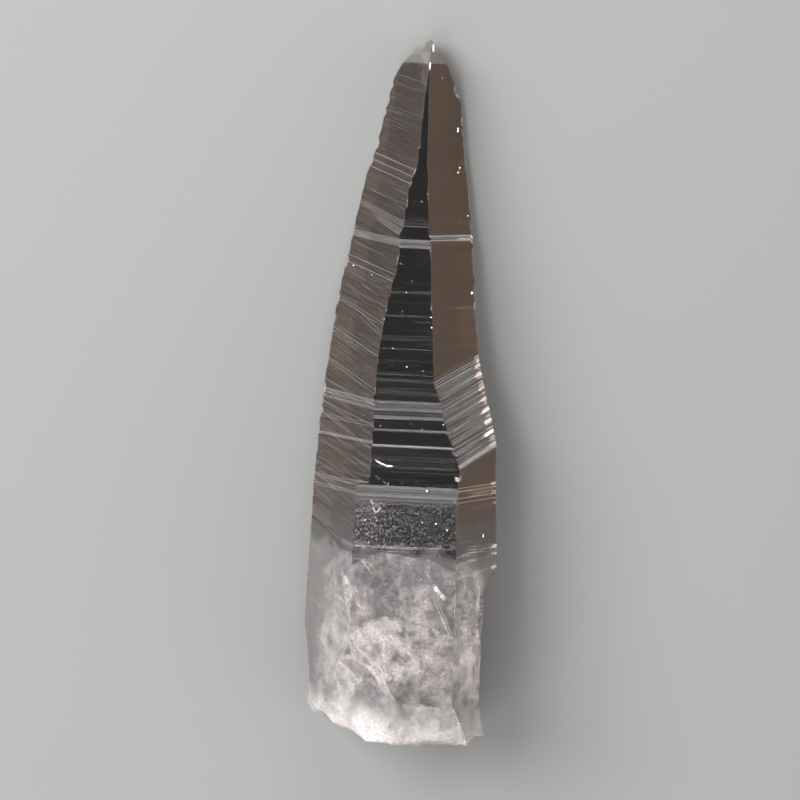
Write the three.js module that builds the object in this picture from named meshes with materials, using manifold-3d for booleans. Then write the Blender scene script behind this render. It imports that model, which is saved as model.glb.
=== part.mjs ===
// A lemurian quartz crystal: one long, clear, tapering point, broken off at its base.
// Millimetres, +Z up. It lies on the flattest of its six long faces, with its point towards +Y.
//
// The crystal is cut from a block in a frame of its own, and laid down at the end. In that frame X is
// across, Y is the height along the crystal's axis, and Z is towards the face that lies uppermost.

import * as THREE from "three";
import { mergeVertices } from "three/addons/utils/BufferGeometryUtils.js";
import Module from "manifold-3d";

const wasm = await Module();
wasm.setup();

// The block that the crystal is cut from runs past both of its ends, and each cut runs past the block.
const BLOCK_BOTTOM = -10;
const BLOCK_TOP = 146;
const BLOCK_HALF_WIDTH = 40;
const CUT_LENGTH = 20; // past each end of the block
const CUT_INNER_MOST = 60; // no nearer the axis than this where a face isn't wanted
const CUT_OUTER = 80;

// Quartz's pyramid faces lean 38.2 degrees from its axis.
const PYRAMID_SLOPE = Math.tan(THREE.MathUtils.degToRad(38.2));

// The face that the crystal lies on is flat from end to end, and comes nearer the axis by this much per mm.
const REST_DISTANCE = 15.5;
const REST_SLOPE = 0.073;

// Rungs are a little ledge each, this high. On some faces they slant, by this much per millimetre across.
const LEDGE_HEIGHT = 0.5;
const LEFT_SLANT = -0.15;
const FLARE_SLANT = 0.26;
const RIGHT_LOWER_SLANT = 0.05;

// The long faces. azimuth is the way a face looks, from the uppermost one. profile gives its distance from
// the axis at heights along it, measured where across is datum. ledges are the rungs of its ladder: the
// height of each, and how far the face steps in there. A face that takes over from another part of the way
// along has a steep stretch in its profile, which carries it out of the crystal.
const FRONT = {
  azimuth: 0,
  profile: [[0, 14.2], [62, 12.3], [130, 4.4]],
  ledges: [
    [39.5, 0.15], [47.7, 0.2], [49.2, 0.25], [50.8, 0.3], [58.5, 0.35], [61.6, 0.2], [63.9, 0.2],
    [65.3, 0.25], [66.7, 0.35], [72, 0.1], [76.5, 0.1], [81.5, 0.12], [89, 0.1], [95.6, 0.2],
    [96.6, 0.25], [108, 0.1], [117, 0.1],
  ],
};
const LEFT_UPPER = {
  azimuth: -60,
  slant: LEFT_SLANT,
  datum: 7,
  profile: [
    [78.8, 9.7], [88.5, 7.8], [90.6, 7], [97.6, 6.3], [99.6, 5.6], [106, 4.8], [107.6, 4.3], [111, 3.2],
    [130, 0.95],
  ],
  ledges: [[83, 0.2], [86, 0.2], [93.6, 0.2], [102.5, 0.2], [114, 0.15], [119, 0.15], [124, 0.1]],
};
const LEFT_BAND = {
  azimuth: -60,
  profile: [[50.4, 18], [51.4, 11.7], [67, 11.1], [88, 8.9]],
  ledges: [
    [52.6, 0.2], [54.5, 0.15], [58.2, 0.3], [61.4, 0.3], [65.8, 0.4], [67.6, 0.3], [72, 0.15], [76, 0.15],
  ],
};
const LEFT_LOWER = {
  azimuth: -66,
  slant: LEFT_SLANT,
  datum: 9,
  profile: [[0, 13.7], [50, 13.2]],
  ledges: [[14, 0.15], [28, 0.15], [39, 0.2], [43, 0.2], [46, 0.2]],
};
const RIGHT_UPPER = {
  azimuth: 58.2,
  profile: [[71, 10.15], [112, 5], [130, 3.6]],
  ledges: [[84, 0.08], [96.5, 0.3], [97.5, 0.3], [110, 0.08], [121, 0.08]],
};
const RIGHT_FLARE = {
  azimuth: 60,
  slant: FLARE_SLANT,
  datum: -7,
  profile: [[0, 40], [53.6, 18], [54.6, 15.3], [71, 9.9]],
  ledges: [[57, 0.25], [59, 0.15], [61, 0.2], [63, 0.15], [65, 0.2], [67.5, 0.2], [69, 0.15]],
};
const RIGHT_LOWER = {
  azimuth: 60,
  slant: RIGHT_LOWER_SLANT,
  datum: -7,
  profile: [[0, 16.8], [54.6, 15.3]],
  ledges: [[34, 0.2], [36.6, 0.2], [38, 0.2], [46.5, 0.15], [48.6, 0.25], [50.2, 0.25]],
};
const BACK_RIGHT = {
  azimuth: 120,
  profile: [[0, 18.6], [55, 15.3], [73, 13.3], [98, 12.2], [123.3, 9.2], [130.4, 4.3], [134.6, 2.6]],
  ledges: [[20, 0.3], [44, 0.3], [66, 0.3], [79, 0.3], [90, 0.3], [108, 0.2]],
};
const BACK_LEFT = {
  azimuth: -120,
  profile: [
    [0, 19.6], [60, 17.2], [88, 14.7], [103, 12.7], [113, 10.6], [127, 7.4], [130, 7.4 - 3 * PYRAMID_SLOPE],
  ],
  ledges: [[17, 0.3], [38, 0.3], [55, 0.3], [71, 0.3], [84, 0.3], [96, 0.3], [109, 0.2]],
};
const REST = { azimuth: 180, profile: [[0, REST_DISTANCE], [100, REST_DISTANCE - 100 * REST_SLOPE]] };

// The three pyramid faces of the point: the face each stands over, and the height that it starts at.
const PYRAMID = [[LEFT_UPPER, 130], [RIGHT_UPPER, 130], [REST, 130.3]];

// Scars of the broken base, each a hollow like the inside of a shell: its deepest point, the way it opens,
// and its radius of curvature.
const SCARS = [
  { at: [-8, 2.4, -6], opens: [-0.14, -1, -0.1], radius: 34 },
  { at: [4, 0.9, -8], opens: [0.05, -1, -0.15], radius: 30 },
  { at: [12, 1.4, 0], opens: [0.1, -1, 0], radius: 28 },
  { at: [-2, 1, 5], opens: [0, -1, 0.15], radius: 32 },
  { at: [-8, 2.6, 3], opens: [-0.3, -1, 0.1], radius: 24 },
  { at: [8, 1.6, 7], opens: [0.05, -1, 0.25], radius: 30 },
  { at: [-12.6, 4.6, 0], opens: [-0.7, -0.9, 0], radius: 26 },
  { at: [-12.5, 6.5, 3], opens: [-0.5, -0.65, 0.6], radius: 22 },
  { at: [-4, 7, 11], opens: [-0.15, -0.5, 0.86], radius: 30 },
  { at: [4, 6, 11], opens: [0, -0.5, 0.86], radius: 26 },
  { at: [12, 6, 10.9], opens: [0.12, -0.5, 0.86], radius: 24 },
  { at: [-8.4, 11.5, 7.6], opens: [-0.4, -0.3, 0.86], radius: 27 },
  { at: [15.3, 25.3, 0], opens: [1, 0, 0.1], radius: 15 },
  { at: [16.1, 15, 0], opens: [1, 0, 0], radius: 70 },
  { at: [15.4, 2.4, 2], opens: [0.7, -0.8, 0.2], radius: 20 },
  { at: [-16.2, 9, -5], opens: [-1, 0, 0], radius: 50 },
];
const SCAR_FACET = 2.2; // width of the small flats that a scar is made of
const SCAR_ROUGHNESS = 0.16;
const CHIP_FACET = 0.7;
const CHIP_ROUGHNESS = 0.05;

// Chips along the sharp edges at the left and right: the height of each, its depth and its radius. Above
// these heights the left edge is that of another stretch of the left face.
const LEFT_BAND_START = 51;
const LEFT_UPPER_START = 80;
const LEFT_CHIPS = [
  [125.6, 0.35, 1.1], [122.8, 0.3, 1.3], [120.4, 0.3, 1], [114.5, 0.35, 1.6], [111.2, 0.3, 1.2],
  [91.8, 0.5, 1.6], [84.6, 0.4, 1.8], [80.9, 0.4, 1.5], [67.1, 0.6, 1.2], [64.9, 0.4, 1.6], [62.9, 0.4, 1],
];
const RIGHT_CHIPS = [
  [125.2, 0.8, 1.7], [119.2, 0.35, 1.2], [117.2, 0.3, 1.5], [115.2, 0.3, 1], [99.4, 0.3, 0.9],
  [84.2, 0.35, 0.9],
];

// A face's distance from the axis at a height, in straight lines that run on past both ends of its profile.
function distanceAt(profile, height) {
  let i = 1;
  while (i < profile.length - 1 && height > profile[i][0]) i += 1;
  const [h0, d0] = profile[i - 1];
  const [h1, d1] = profile[i];
  return d0 + ((d1 - d0) * (height - h0)) / (h1 - h0);
}

// A face's profile with its ledges in it. Between two ledges the face is a little nearer upright, so that
// the taper as a whole stays what the profile says.
function steppedProfile(face) {
  const steps = (face.ledges ?? []).flatMap(([height, depth]) => [
    [height - LEDGE_HEIGHT / 2, distanceAt(face.profile, height - LEDGE_HEIGHT / 2) + depth / 2],
    [height + LEDGE_HEIGHT / 2, distanceAt(face.profile, height + LEDGE_HEIGHT / 2) - depth / 2],
  ]);
  const clear = ([height]) => steps.every(([step]) => Math.abs(step - height) > LEDGE_HEIGHT);
  return [...face.profile.filter(clear), ...steps].sort((a, b) => a[0] - b[0]);
}

// The directions of a face: out of it, and across it.
function directionsOf(face) {
  const azimuth = THREE.MathUtils.degToRad(face.azimuth);
  const out = new THREE.Vector3(Math.sin(azimuth), 0, Math.cos(azimuth));
  const across = new THREE.Vector3(0, 1, 0).cross(out);
  return { out, across };
}

// A closed geometry as a solid that can be cut.
function solidOf(geometry) {
  geometry.deleteAttribute("normal");
  geometry.deleteAttribute("uv");
  const merged = mergeVertices(geometry, 1e-4);
  return new wasm.Manifold(
    new wasm.Mesh({
      numProp: 3,
      vertProperties: merged.attributes.position.array,
      triVerts: new Uint32Array(merged.index.array),
    }),
  );
}

// Everything outside a long face: its profile, drawn out to far away and pushed across the face, along the
// slant of its growth lines.
function outsideOf(face) {
  const profile = steppedProfile(face);
  const bottom = BLOCK_BOTTOM - CUT_LENGTH;
  const top = BLOCK_TOP + CUT_LENGTH;
  const outline = new THREE.Shape();
  outline.moveTo(bottom, CUT_OUTER);
  for (const height of [bottom, ...profile.map(([height]) => height), top])
    outline.lineTo(height, Math.min(distanceAt(profile, height), CUT_INNER_MOST));
  outline.lineTo(top, CUT_OUTER);
  const geometry = new THREE.ExtrudeGeometry(outline, { depth: 2 * CUT_OUTER, bevelEnabled: false });
  const { out, across } = directionsOf(face);
  const datum = face.datum ?? 0;
  geometry.translate(0, 0, -CUT_OUTER - datum);
  const slanted = across.clone().setY(face.slant ?? 0);
  geometry.applyMatrix4(new THREE.Matrix4().makeBasis(new THREE.Vector3(0, 1, 0), out, slanted));
  geometry.translate(...across.multiplyScalar(datum).toArray());
  return solidOf(geometry);
}

// A hollow scar's ball, whose surface is uneven by a few tenths of a millimetre.
function scarBall({ at, opens, radius }, facet, roughness) {
  const detail = Math.ceil(radius / facet);
  const ball = new THREE.IcosahedronGeometry(radius, detail);
  const position = ball.attributes.position;
  const point = new THREE.Vector3();
  const middle = new THREE.Vector3(...opens).setLength(radius).add(new THREE.Vector3(...at));
  for (let i = 0; i < position.count; i += 1) {
    point.fromBufferAttribute(position, i);
    const waves = Math.sin(1.9 * point.x + 0.7 * point.y) + Math.sin(1.3 * point.y - 2.1 * point.z + 1)
      + Math.sin(1.7 * point.z + 1.1 * point.x + 2);
    point.setLength(radius + (roughness * waves) / 2).add(middle);
    position.setXYZ(i, point.x, point.y, point.z);
  }
  return solidOf(ball);
}

// Where the edge between two long faces is at a height.
function edgeAt(faceA, faceB, height) {
  const a = directionsOf(faceA).out;
  const b = directionsOf(faceB).out;
  const point = new THREE.Vector3(0, height, 0);
  const distance = (face) => {
    const place = directionsOf(face).across.dot(point) - (face.datum ?? 0);
    return distanceAt(face.profile, height - (face.slant ?? 0) * place);
  };
  for (let i = 0; i < 4; i += 1) {
    const dA = distance(faceA);
    const dB = distance(faceB);
    const cross = a.x * b.z - a.z * b.x;
    point.set((dA * b.z - dB * a.z) / cross, height, (a.x * dB - b.x * dA) / cross);
  }
  return point;
}

// A chip in the edge between two long faces, on the side that X looks to, 1 or -1.
function chipBall([height, depth, radius], faceA, faceB, side) {
  const { x, y, z } = edgeAt(faceA, faceB, height);
  const chip = { at: [x - side * depth, y, z], opens: [side, 0, 0.15], radius };
  return scarBall(chip, CHIP_FACET, CHIP_ROUGHNESS);
}

// The stretch of the left face that a height is on.
function leftFaceAt(height) {
  if (height > LEFT_UPPER_START) return LEFT_UPPER;
  return height > LEFT_BAND_START ? LEFT_BAND : LEFT_LOWER;
}

let crystal = solidOf(
  new THREE.BoxGeometry(2 * BLOCK_HALF_WIDTH, BLOCK_TOP - BLOCK_BOTTOM, 2 * BLOCK_HALF_WIDTH)
    .translate(0, (BLOCK_TOP + BLOCK_BOTTOM) / 2, 0),
);
for (const face of [FRONT, LEFT_UPPER, LEFT_BAND, LEFT_LOWER, RIGHT_LOWER, BACK_RIGHT, BACK_LEFT, REST])
  crystal = crystal.subtract(outsideOf(face));

// At the right the lower face flares out past the upper one, so only what is outside both is cut off.
crystal = crystal.subtract(outsideOf(RIGHT_UPPER).intersect(outsideOf(RIGHT_FLARE)));

for (const [face, start] of PYRAMID) {
  const distance = distanceAt(face.profile, start);
  const slope = [[start, distance], [start + 1, distance - PYRAMID_SLOPE]];
  crystal = crystal.subtract(outsideOf({ azimuth: face.azimuth, profile: slope }));
}

for (const scar of SCARS) crystal = crystal.subtract(scarBall(scar, SCAR_FACET, SCAR_ROUGHNESS));
for (const chip of LEFT_CHIPS) crystal = crystal.subtract(chipBall(chip, leftFaceAt(chip[0]), BACK_LEFT, -1));
for (const chip of RIGHT_CHIPS) crystal = crystal.subtract(chipBall(chip, RIGHT_UPPER, BACK_RIGHT, 1));

// Laid down on its rest face, with the middle of its underside at the origin.
const { vertProperties, triVerts } = crystal.getMesh();
const geometry = new THREE.BufferGeometry();
geometry.setAttribute("position", new THREE.BufferAttribute(vertProperties, 3));
geometry.setIndex(new THREE.BufferAttribute(triVerts, 1));
geometry.rotateX(-Math.atan(REST_SLOPE));
geometry.computeBoundingBox();
const { min, max } = geometry.boundingBox;
geometry.translate(-(min.x + max.x) / 2, -(min.y + max.y) / 2, -min.z);

const quartz = new THREE.MeshStandardMaterial({ color: 0xe8e2dc, roughness: 0.05, metalness: 0 });
const mesh = new THREE.Mesh(geometry, quartz);
mesh.name = "quartz_crystal";

const part = new THREE.Group();
part.add(mesh);
export default part;
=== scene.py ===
# %% [markdown]
# A Lemurian quartz point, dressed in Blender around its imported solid.
#
# The real thing is one natural crystal of clear quartz, 135 mm long. It grew in thin layers, and each
# layer ended in a hairline step, so its long faces are ruled across like a ladder. Where it broke off
# its pocket the stone is frosted and full of veils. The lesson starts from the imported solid, cuts the
# growth lines into its faces as real steps, and roughens the break. Then it gives the stone one material
# with quartz's own refraction, and hangs the veils inside the foot.

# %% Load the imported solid
import math
import random
from bisect import bisect

import bmesh
import bpy
from mathutils import Matrix, Vector, noise
from mathutils.bvhtree import BVHTree
from mathutils.kdtree import KDTree


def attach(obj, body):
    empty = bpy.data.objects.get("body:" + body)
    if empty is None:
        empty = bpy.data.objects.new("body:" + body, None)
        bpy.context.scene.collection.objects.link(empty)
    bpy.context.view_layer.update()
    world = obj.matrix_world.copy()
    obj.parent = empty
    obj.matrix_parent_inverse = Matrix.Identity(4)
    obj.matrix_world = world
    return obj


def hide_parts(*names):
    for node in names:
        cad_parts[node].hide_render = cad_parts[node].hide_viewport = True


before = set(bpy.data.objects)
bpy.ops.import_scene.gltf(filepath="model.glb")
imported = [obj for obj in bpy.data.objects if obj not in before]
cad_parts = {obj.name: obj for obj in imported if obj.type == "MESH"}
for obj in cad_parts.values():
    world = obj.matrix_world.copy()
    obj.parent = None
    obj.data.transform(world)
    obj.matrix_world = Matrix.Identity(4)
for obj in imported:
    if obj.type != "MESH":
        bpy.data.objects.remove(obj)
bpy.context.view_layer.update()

MM = 0.001
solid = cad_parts["quartz_crystal"]

# %% [markdown]
# Everything about a crystal is measured from its axis: how high along it, and which way a face looks
# round it. The stone lies down on its flattest face, which leans a little from the axis because the
# crystal tapers, so the axis is not level. One matrix goes from the crystal's own frame (X across,
# Y up the axis, Z out of the uppermost face, in millimetres) to the scene's, and every mark on the
# stone is placed through it.

# %% The crystal's own frame
REST_SLOPE = 0.073      # the face it lies on comes this much nearer the axis per millimetre
REST_DISTANCE = 15.5    # and is this far from the axis at the foot
AXIS_FOOT = Vector((-0.52, -66.388, REST_DISTANCE * math.cos(math.atan(REST_SLOPE))))

LAID_DOWN = (
    Matrix.Scale(MM, 4)
    @ Matrix.Translation(AXIS_FOOT)
    @ Matrix.Rotation(-math.atan(REST_SLOPE), 4, "X")
)
STOOD_UP = LAID_DOWN.inverted()
UP_AXIS = Vector((0, 1, 0))


def place(x, height, z=0):
    """A point of the crystal's own frame, in the scene."""
    return LAID_DOWN @ Vector((x, height, z))


print("the axis starts at", [round(v / MM, 1) for v in place(0, 0)], "mm")

# %% [markdown]
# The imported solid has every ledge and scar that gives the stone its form. The finish needs more, so a
# copy of its mesh is the base of a finer piece. First each facet is told apart: the long faces look one
# of six ways round the axis, and whatever looks another way is a break. A break and a growth face take
# the light quite differently, so the split is what the whole finish rests on.

# %% Tell the long faces from the breaks
# The way a long face looks round the axis, in degrees from the uppermost one.
WAYS = {
    "front": (0,),
    "left": (-60, -66),
    "right": (58.2, 60),
    "back_right": (120,),
    "back_left": (-120,),
    "rest": (180, -180),
}
WAY_TOLERANCE = 9       # degrees; a slanting ledge looks a little aside
OVERHANG = -0.12        # near the foot, a long face never looks further down than this
BREAK_TOP = 35          # millimetres up the axis; no break reaches higher, but for chips in the edges
FLARE = (52, 66)        # millimetres up the axis, the steep stretch where the right face flares out
FLARE_FROM_X = 8        # millimetres across; the flare is all to the right of this
FLARE_WAYS = (15, 75)   # degrees; its ledges look further aside than those of the other faces
TIP_FROM = 125          # millimetres up the axis; above it, a face that looks up the axis is the point's
TIP_LEAN = 0.5          # the least that such a face looks up the axis

stone = bmesh.new()
stone.from_mesh(solid.data)
bmesh.ops.remove_doubles(stone, verts=stone.verts, dist=0.001 * MM)
stone.transform(STOOD_UP)


def region_of(facet):
    """The long face that a facet belongs to, or a break."""
    normal = facet.normal
    middle = facet.calc_center_median()
    way = math.degrees(math.atan2(normal.x, normal.z))
    if normal.y < OVERHANG and middle.y < BREAK_TOP:
        return "break"
    if normal.y > TIP_LEAN and middle.y > TIP_FROM:
        return "tip"
    in_flare = FLARE[0] < middle.y < FLARE[1] and middle.x > FLARE_FROM_X
    if in_flare and FLARE_WAYS[0] < way < FLARE_WAYS[1]:
        return "right"
    for name, ways in WAYS.items():
        if min(abs(way - w) for w in ways) < WAY_TOLERANCE:
            return name
    return "break"


REGIONS = [*WAYS, "tip", "break"]
region_layer = stone.faces.layers.int.new("region")
stone.normal_update()
for facet in stone.faces:
    facet[region_layer] = REGIONS.index(region_of(facet))


def facets_of(name):
    """The facets of one region, as they are now."""
    return [f for f in stone.faces if f[region_layer] == REGIONS.index(name)]


def is_break(facet):
    """Whether a facet is part of a break, and not of a face that grew."""
    return facet[region_layer] == REGIONS.index("break")


for name in REGIONS:
    found = facets_of(name)
    print(f"{name}: {len(found)} facets, {sum(f.calc_area() for f in found):.0f} mm2")

# %% [markdown]
# The growth lines. On the real stone each layer of quartz stopped a little short of the one below it, so
# a long face is a flight of very low steps: a tread that runs nearly true with the axis, and then a
# ledge a few hundredths of a millimetre deep. A bump map could fake them, but the big rungs catch a
# light by their slope and show at the stone's edge, so here the lines are cut into the mesh. A line is
# two cuts across the face, at the top and the foot of its ledge, and later the points on the cuts are
# moved in or out. Cutting by hundreds of planes is quick when each cut shares out the planes that are
# left between its two parts, because a plane then only meets the facets near it.

# %% How a growth line is described
SURE = 1e-4             # millimetres; points nearer a cut than this are on it
FAR_ASIDE = 99          # millimetres across, past the sides of every face
LINE_FADE = 2.0         # millimetres that a line takes to fade out past its end


def directions(way):
    """Out of a long face, and across it."""
    out = Vector((math.sin(math.radians(way)), 0, math.cos(math.radians(way))))
    return out, UP_AXIS.cross(out)


class Line:
    """A growth line: its height where the face's middle is, its slant, its ledge, and how white that is."""

    def __init__(
        self, height, slant=0.0, depth=0.02, ledge=0.12, frost=0.0, reach=2.0,
        start=-FAR_ASIDE, end=FAR_ASIDE,
    ):
        self.height = height    # up the axis, where across is 0
        self.slant = slant      # millimetres up for each millimetre across
        self.depth = depth      # of the step
        self.ledge = ledge      # how high the step's slope is
        self.frost = frost      # the share of the slope that is matt white
        self.reach = reach      # how far the treads above and below lean to meet it
        self.start = start      # across, where the line fades in
        self.end = end          # and out

    def cuts(self):
        """The heights of the two cuts that the ledge lies between."""
        return self.height - self.ledge / 2, self.height + self.ledge / 2

    def over(self, height, across_at):
        """How far a place is above the line."""
        return height - self.height - self.slant * across_at

    def there(self, across_at):
        """How much of the line is there: 1 within its ends, and 0 past its fade."""
        past = max(self.start - across_at, across_at - self.end, 0)
        return max(0.0, 1 - past / LINE_FADE)


# %% Fine lines by chance
CUT_SHORT = 0.45        # the share of the fine lines that start part of the way across, or end there


def random_lines(rng, bottom, top, spacing, slant, depth, frost, ledge=0.12, sway=0.0):
    """Fine growth lines up a face, unevenly spaced, a few of them strong and most of them faint."""
    height = bottom
    while height < top:
        height += spacing * (0.35 + 1.3 * rng.random())
        start, end = -FAR_ASIDE, FAR_ASIDE
        if rng.random() < CUT_SHORT:
            start = rng.uniform(-10, 6)
        if rng.random() < CUT_SHORT:
            end = max(start, -8) + rng.uniform(3, 14)
        strong = 0.3 + 1.7 * rng.random() ** 3
        yield Line(
            height,
            slant + sway * rng.uniform(-1, 1),
            depth * strong,
            ledge * (0.7 + 0.6 * rng.random()),
            frost * strong,
            reach=1.2 * spacing + 0.4,
            start=start,
            end=end,
        )


# %% Cut a face by many planes
def sides_of(facet, point, direction):
    """How far each corner of a facet is from a plane."""
    return {v: (v.co - point).dot(direction) for v in facet.verts}


def crosses(facet, point, direction):
    """Whether a plane goes through a facet."""
    sides = sides_of(facet, point, direction).values()
    return min(sides) < -SURE and max(sides) > SURE


def cut_facet(facet, point, direction):
    """Cuts one facet by a plane, and gives back its parts."""
    side = sides_of(facet, point, direction)
    for edge in list(facet.edges):
        a, b = edge.verts
        if side[a] * side[b] < 0 and min(abs(side[a]), abs(side[b])) > SURE:
            _, corner = bmesh.utils.edge_split(edge, a, side[a] / (side[a] - side[b]))
            side[corner] = 0
    along = facet.normal.cross(direction)
    on_plane = sorted((v for v in facet.verts if abs(side[v]) <= SURE), key=lambda v: v.co.dot(along))
    parts = [facet]
    for a, b in zip(on_plane[::2], on_plane[1::2]):
        if any(b in e.verts for e in a.link_edges):
            continue
        for part in parts:
            if a in part.verts and b in part.verts:
                parts.append(bmesh.utils.face_split(part, a, b)[0])
                break
    return parts


def cut_by(facet, planes):
    """Cuts a facet by every plane that goes through it. Each cut shares out the planes that are left."""
    crossing = [plane for plane in planes if crosses(facet, *plane)]
    if not crossing:
        return
    chosen = crossing.pop(len(crossing) // 2)
    for part in cut_facet(facet, *chosen):
        cut_by(part, crossing)


def rule(name, lines, columns):
    """Cuts growth lines into a long face, and upright columns that let a line fade along its length."""
    out, across = directions(WAYS[name][0])
    planes = []
    for line in lines:
        direction = (UP_AXIS - line.slant * across).normalized()
        planes += [(UP_AXIS * height, direction) for height in line.cuts()]
    for facet in facets_of(name):
        cut_by(facet, planes)
    uprights = [(across * u, across) for u in columns]
    for facet in facets_of(name):
        cut_by(facet, uprights)


# %% [markdown]
# The lines themselves. The rungs that the eye counts are listed one by one, at their height up the stone.
# The hairlines between them are drawn by chance, with a fixed seed, as dense as each face shows them.
# The left face is ruled aslant and the flare at the right more steeply still, while the uppermost face
# is ruled straight across and the upper right face is nearly smooth.

# %% The growth lines of each long face
rng = random.Random(7)
THIN = 0.1              # millimetres, the ledge of a thin bright line
FLARE_SLANT = 0.235     # millimetres up for each millimetre across


def rungs(heights, slant, depth, frost, ledge=THIN, **how):
    """Lines listed one by one, all of one kind."""
    return [Line(height, slant, depth, ledge, frost, **how) for height in heights]


FACE_LINES = {
    "front": [
        *random_lines(rng, 12, 40, 0.9, 0, 0.012, 0.02),
        *random_lines(rng, 40, 64, 0.5, 0, 0.012, 0.03),
        *random_lines(rng, 64, 82, 0.33, 0, 0.006, 0.01),
        *random_lines(rng, 82, 128, 0.7, 0, 0.005, 0.008),
        *rungs((99.4, 96.9, 96.6, 96.3, 96, 95.7, 95.4), 0, 0.03, 0.1, start=-3, end=3),
        *rungs((66.5, 65.9, 65.1, 64.6, 63.6, 61.6, 61.3), 0.006, 0.04, 0.1),
        *rungs((65.6, 64.2), 0.006, 0.01, 0.015, ledge=1.5),
        *rungs((58.55,), -0.005, 0.07, 0.32, ledge=0.16),
        *rungs((50.6, 50.2, 49.6, 49, 48.3), 0, 0.05, 0.16),
        *rungs((50.1, 48.8), 0, 0.01, 0.02, ledge=1.1),
    ],
    "left": [
        *random_lines(rng, 6, 52, 0.42, -0.2, 0.02, 0.04, sway=0.06),
        *random_lines(rng, 46, 90, 0.36, -0.19, 0.016, 0.05, sway=0.06),
        *random_lines(rng, 84, 131, 0.42, -0.18, 0.01, 0.03, sway=0.03),
        *rungs((110.9, 109.6, 108.3), -0.175, 0.04, 0.22),
        *rungs((100.5, 100.9, 101.3), -0.185, 0.05, 0.15),
        *rungs((100, 99.6, 99.2), -0.245, 0.06, 0.2, start=-4),
        *rungs((97.2, 96.8, 96.5, 96.1), -0.055, 0.04, 0.1),
        *rungs((96.6,), -0.055, 0.02, 0.05, ledge=1.3),
        *rungs((91.2, 90), -0.147, 0.06, 0.17),
        *rungs((82.5, 76.4, 70.4), -0.22, 0.05, 0.13),
        *rungs((81.6, 80.9), -0.33, 0.04, 0.1, start=-3),
        *rungs((66.9, 66.3, 65.6), -0.022, 0.05, 0.13),
        *rungs((66.2,), -0.022, 0.02, 0.05, ledge=2),
        *rungs((62.4, 61.9), 0.013, 0.05, 0.12),
        *rungs((59, 58.7), 0.017, 0.07, 0.22, ledge=0.14),
        *rungs((51.2, 50.8, 49.5, 49.1), 0.04, 0.06, 0.17),
    ],
    "right": [
        *random_lines(rng, 6, 46, 0.7, -0.03, 0.012, 0.03),
        *random_lines(rng, 55.5, 73, 0.26, FLARE_SLANT, 0.02, 0.12, sway=0.008),
        *random_lines(rng, 76, 128, 2.2, 0, 0.004, 0.01),
        *rungs((97.7, 96.9), 0, 0.05, 0.3, ledge=0.16),
        *rungs((97.3,), 0, 0.02, 0.07, ledge=1.2),
        *rungs((72.2, 71.7, 71.2, 70.4, 69.8, 69.4, 68.9, 68.1, 67.5, 66.9), FLARE_SLANT, 0.04, 0.2),
        *rungs((66.1, 65.4, 64.9, 64.1, 63.3, 62.8), FLARE_SLANT, 0.03, 0.17),
        *rungs((61.9, 61.2, 60.5, 59.6, 58.8, 57.6), FLARE_SLANT, 0.03, 0.17),
        *rungs((56.3,), 0.243, 0.09, 0.34, ledge=0.75),
        *rungs((51, 50.4, 49.1, 48.3), -0.01, 0.06, 0.22),
        *rungs((39.6, 39, 38.5), -0.05, 0.05, 0.18, start=0),
    ],
    "back_right": [*random_lines(rng, 6, 126, 0.8, 0.06, 0.03, 0.08, sway=0.02)],
    "back_left": [*random_lines(rng, 6, 126, 0.8, -0.05, 0.03, 0.08, sway=0.02)],
}
for lines in FACE_LINES.values():
    lines.sort(key=lambda line: line.height)
print("growth lines:", sum(len(lines) for lines in FACE_LINES.values()))

# %% [markdown]
# Before the cuts, the triangles of each flat are joined, so that the old edges between them don't show up
# as creases once the points move. The breaks are left alone, because their facets are all different.

# %% Cut the growth lines
FLAT_WITHIN = 0.2       # degrees; two facets of a face that meet flatter than this are joined
COLUMN_GAP = 1.7        # millimetres across, from one upright cut to the next
COLUMNS = [COLUMN_GAP * i for i in range(-12, 13)]

bmesh.ops.dissolve_limit(
    stone,
    angle_limit=math.radians(FLAT_WITHIN),
    verts=[v for v in stone.verts if not any(is_break(f) for f in v.link_faces)],
    edges=[e for e in stone.edges if not any(is_break(f) for f in e.link_faces)],
)
for name, lines in FACE_LINES.items():
    rule(name, lines, COLUMNS)
    print(f"{name}: {len(lines)} growth lines, {len(facets_of(name))} facets")

# %% [markdown]
# Now the steps get their depth. A point of a long face moves out of it or into it by the sum of all the
# lines near it. A corner between two faces has to lie on both, so its move is worked out from the two
# together. The face that the stone rests on keeps its plane.

# %% Step the faces in and out
MOST = 0.3              # millimetres that a point of a face may move
NEAR = 8                # a line that crosses a face's middle further off than this doesn't come near
ALIKE = 0.9             # the cosine over which two faces look the same way


def lines_near(name, height):
    """The growth lines of a face that may come near a height."""
    lines = FACE_LINES.get(name, [])
    heights = [line.height for line in lines]
    return lines[bisect(heights, height - NEAR):bisect(heights, height + NEAR)]


def step_at(lines, height, across_at):
    """How far a face stands out at a point, from all the growth lines near it."""
    total = 0.0
    for line in lines:
        over = line.over(height, across_at)
        half = line.ledge / 2
        if abs(over) > half + line.reach:
            continue
        if abs(over) <= half:
            share = -over / line.ledge
        else:
            share = -math.copysign(0.5, over) * (1 - (abs(over) - half) / line.reach)
        total += line.depth * share * line.there(across_at)
    return max(-MOST, min(MOST, total))


moves = {}
for name in FACE_LINES:
    out, across = directions(WAYS[name][0])
    for corner in dict.fromkeys(v for f in facets_of(name) for v in f.verts):
        height, across_at = corner.co.y, across.dot(corner.co)
        depth = step_at(lines_near(name, height), height, across_at)
        moves.setdefault(corner, []).append((out, depth))
for facet in facets_of("rest"):
    for corner in facet.verts:
        moves.setdefault(corner, []).append((directions(180)[0], 0.0))

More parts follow.
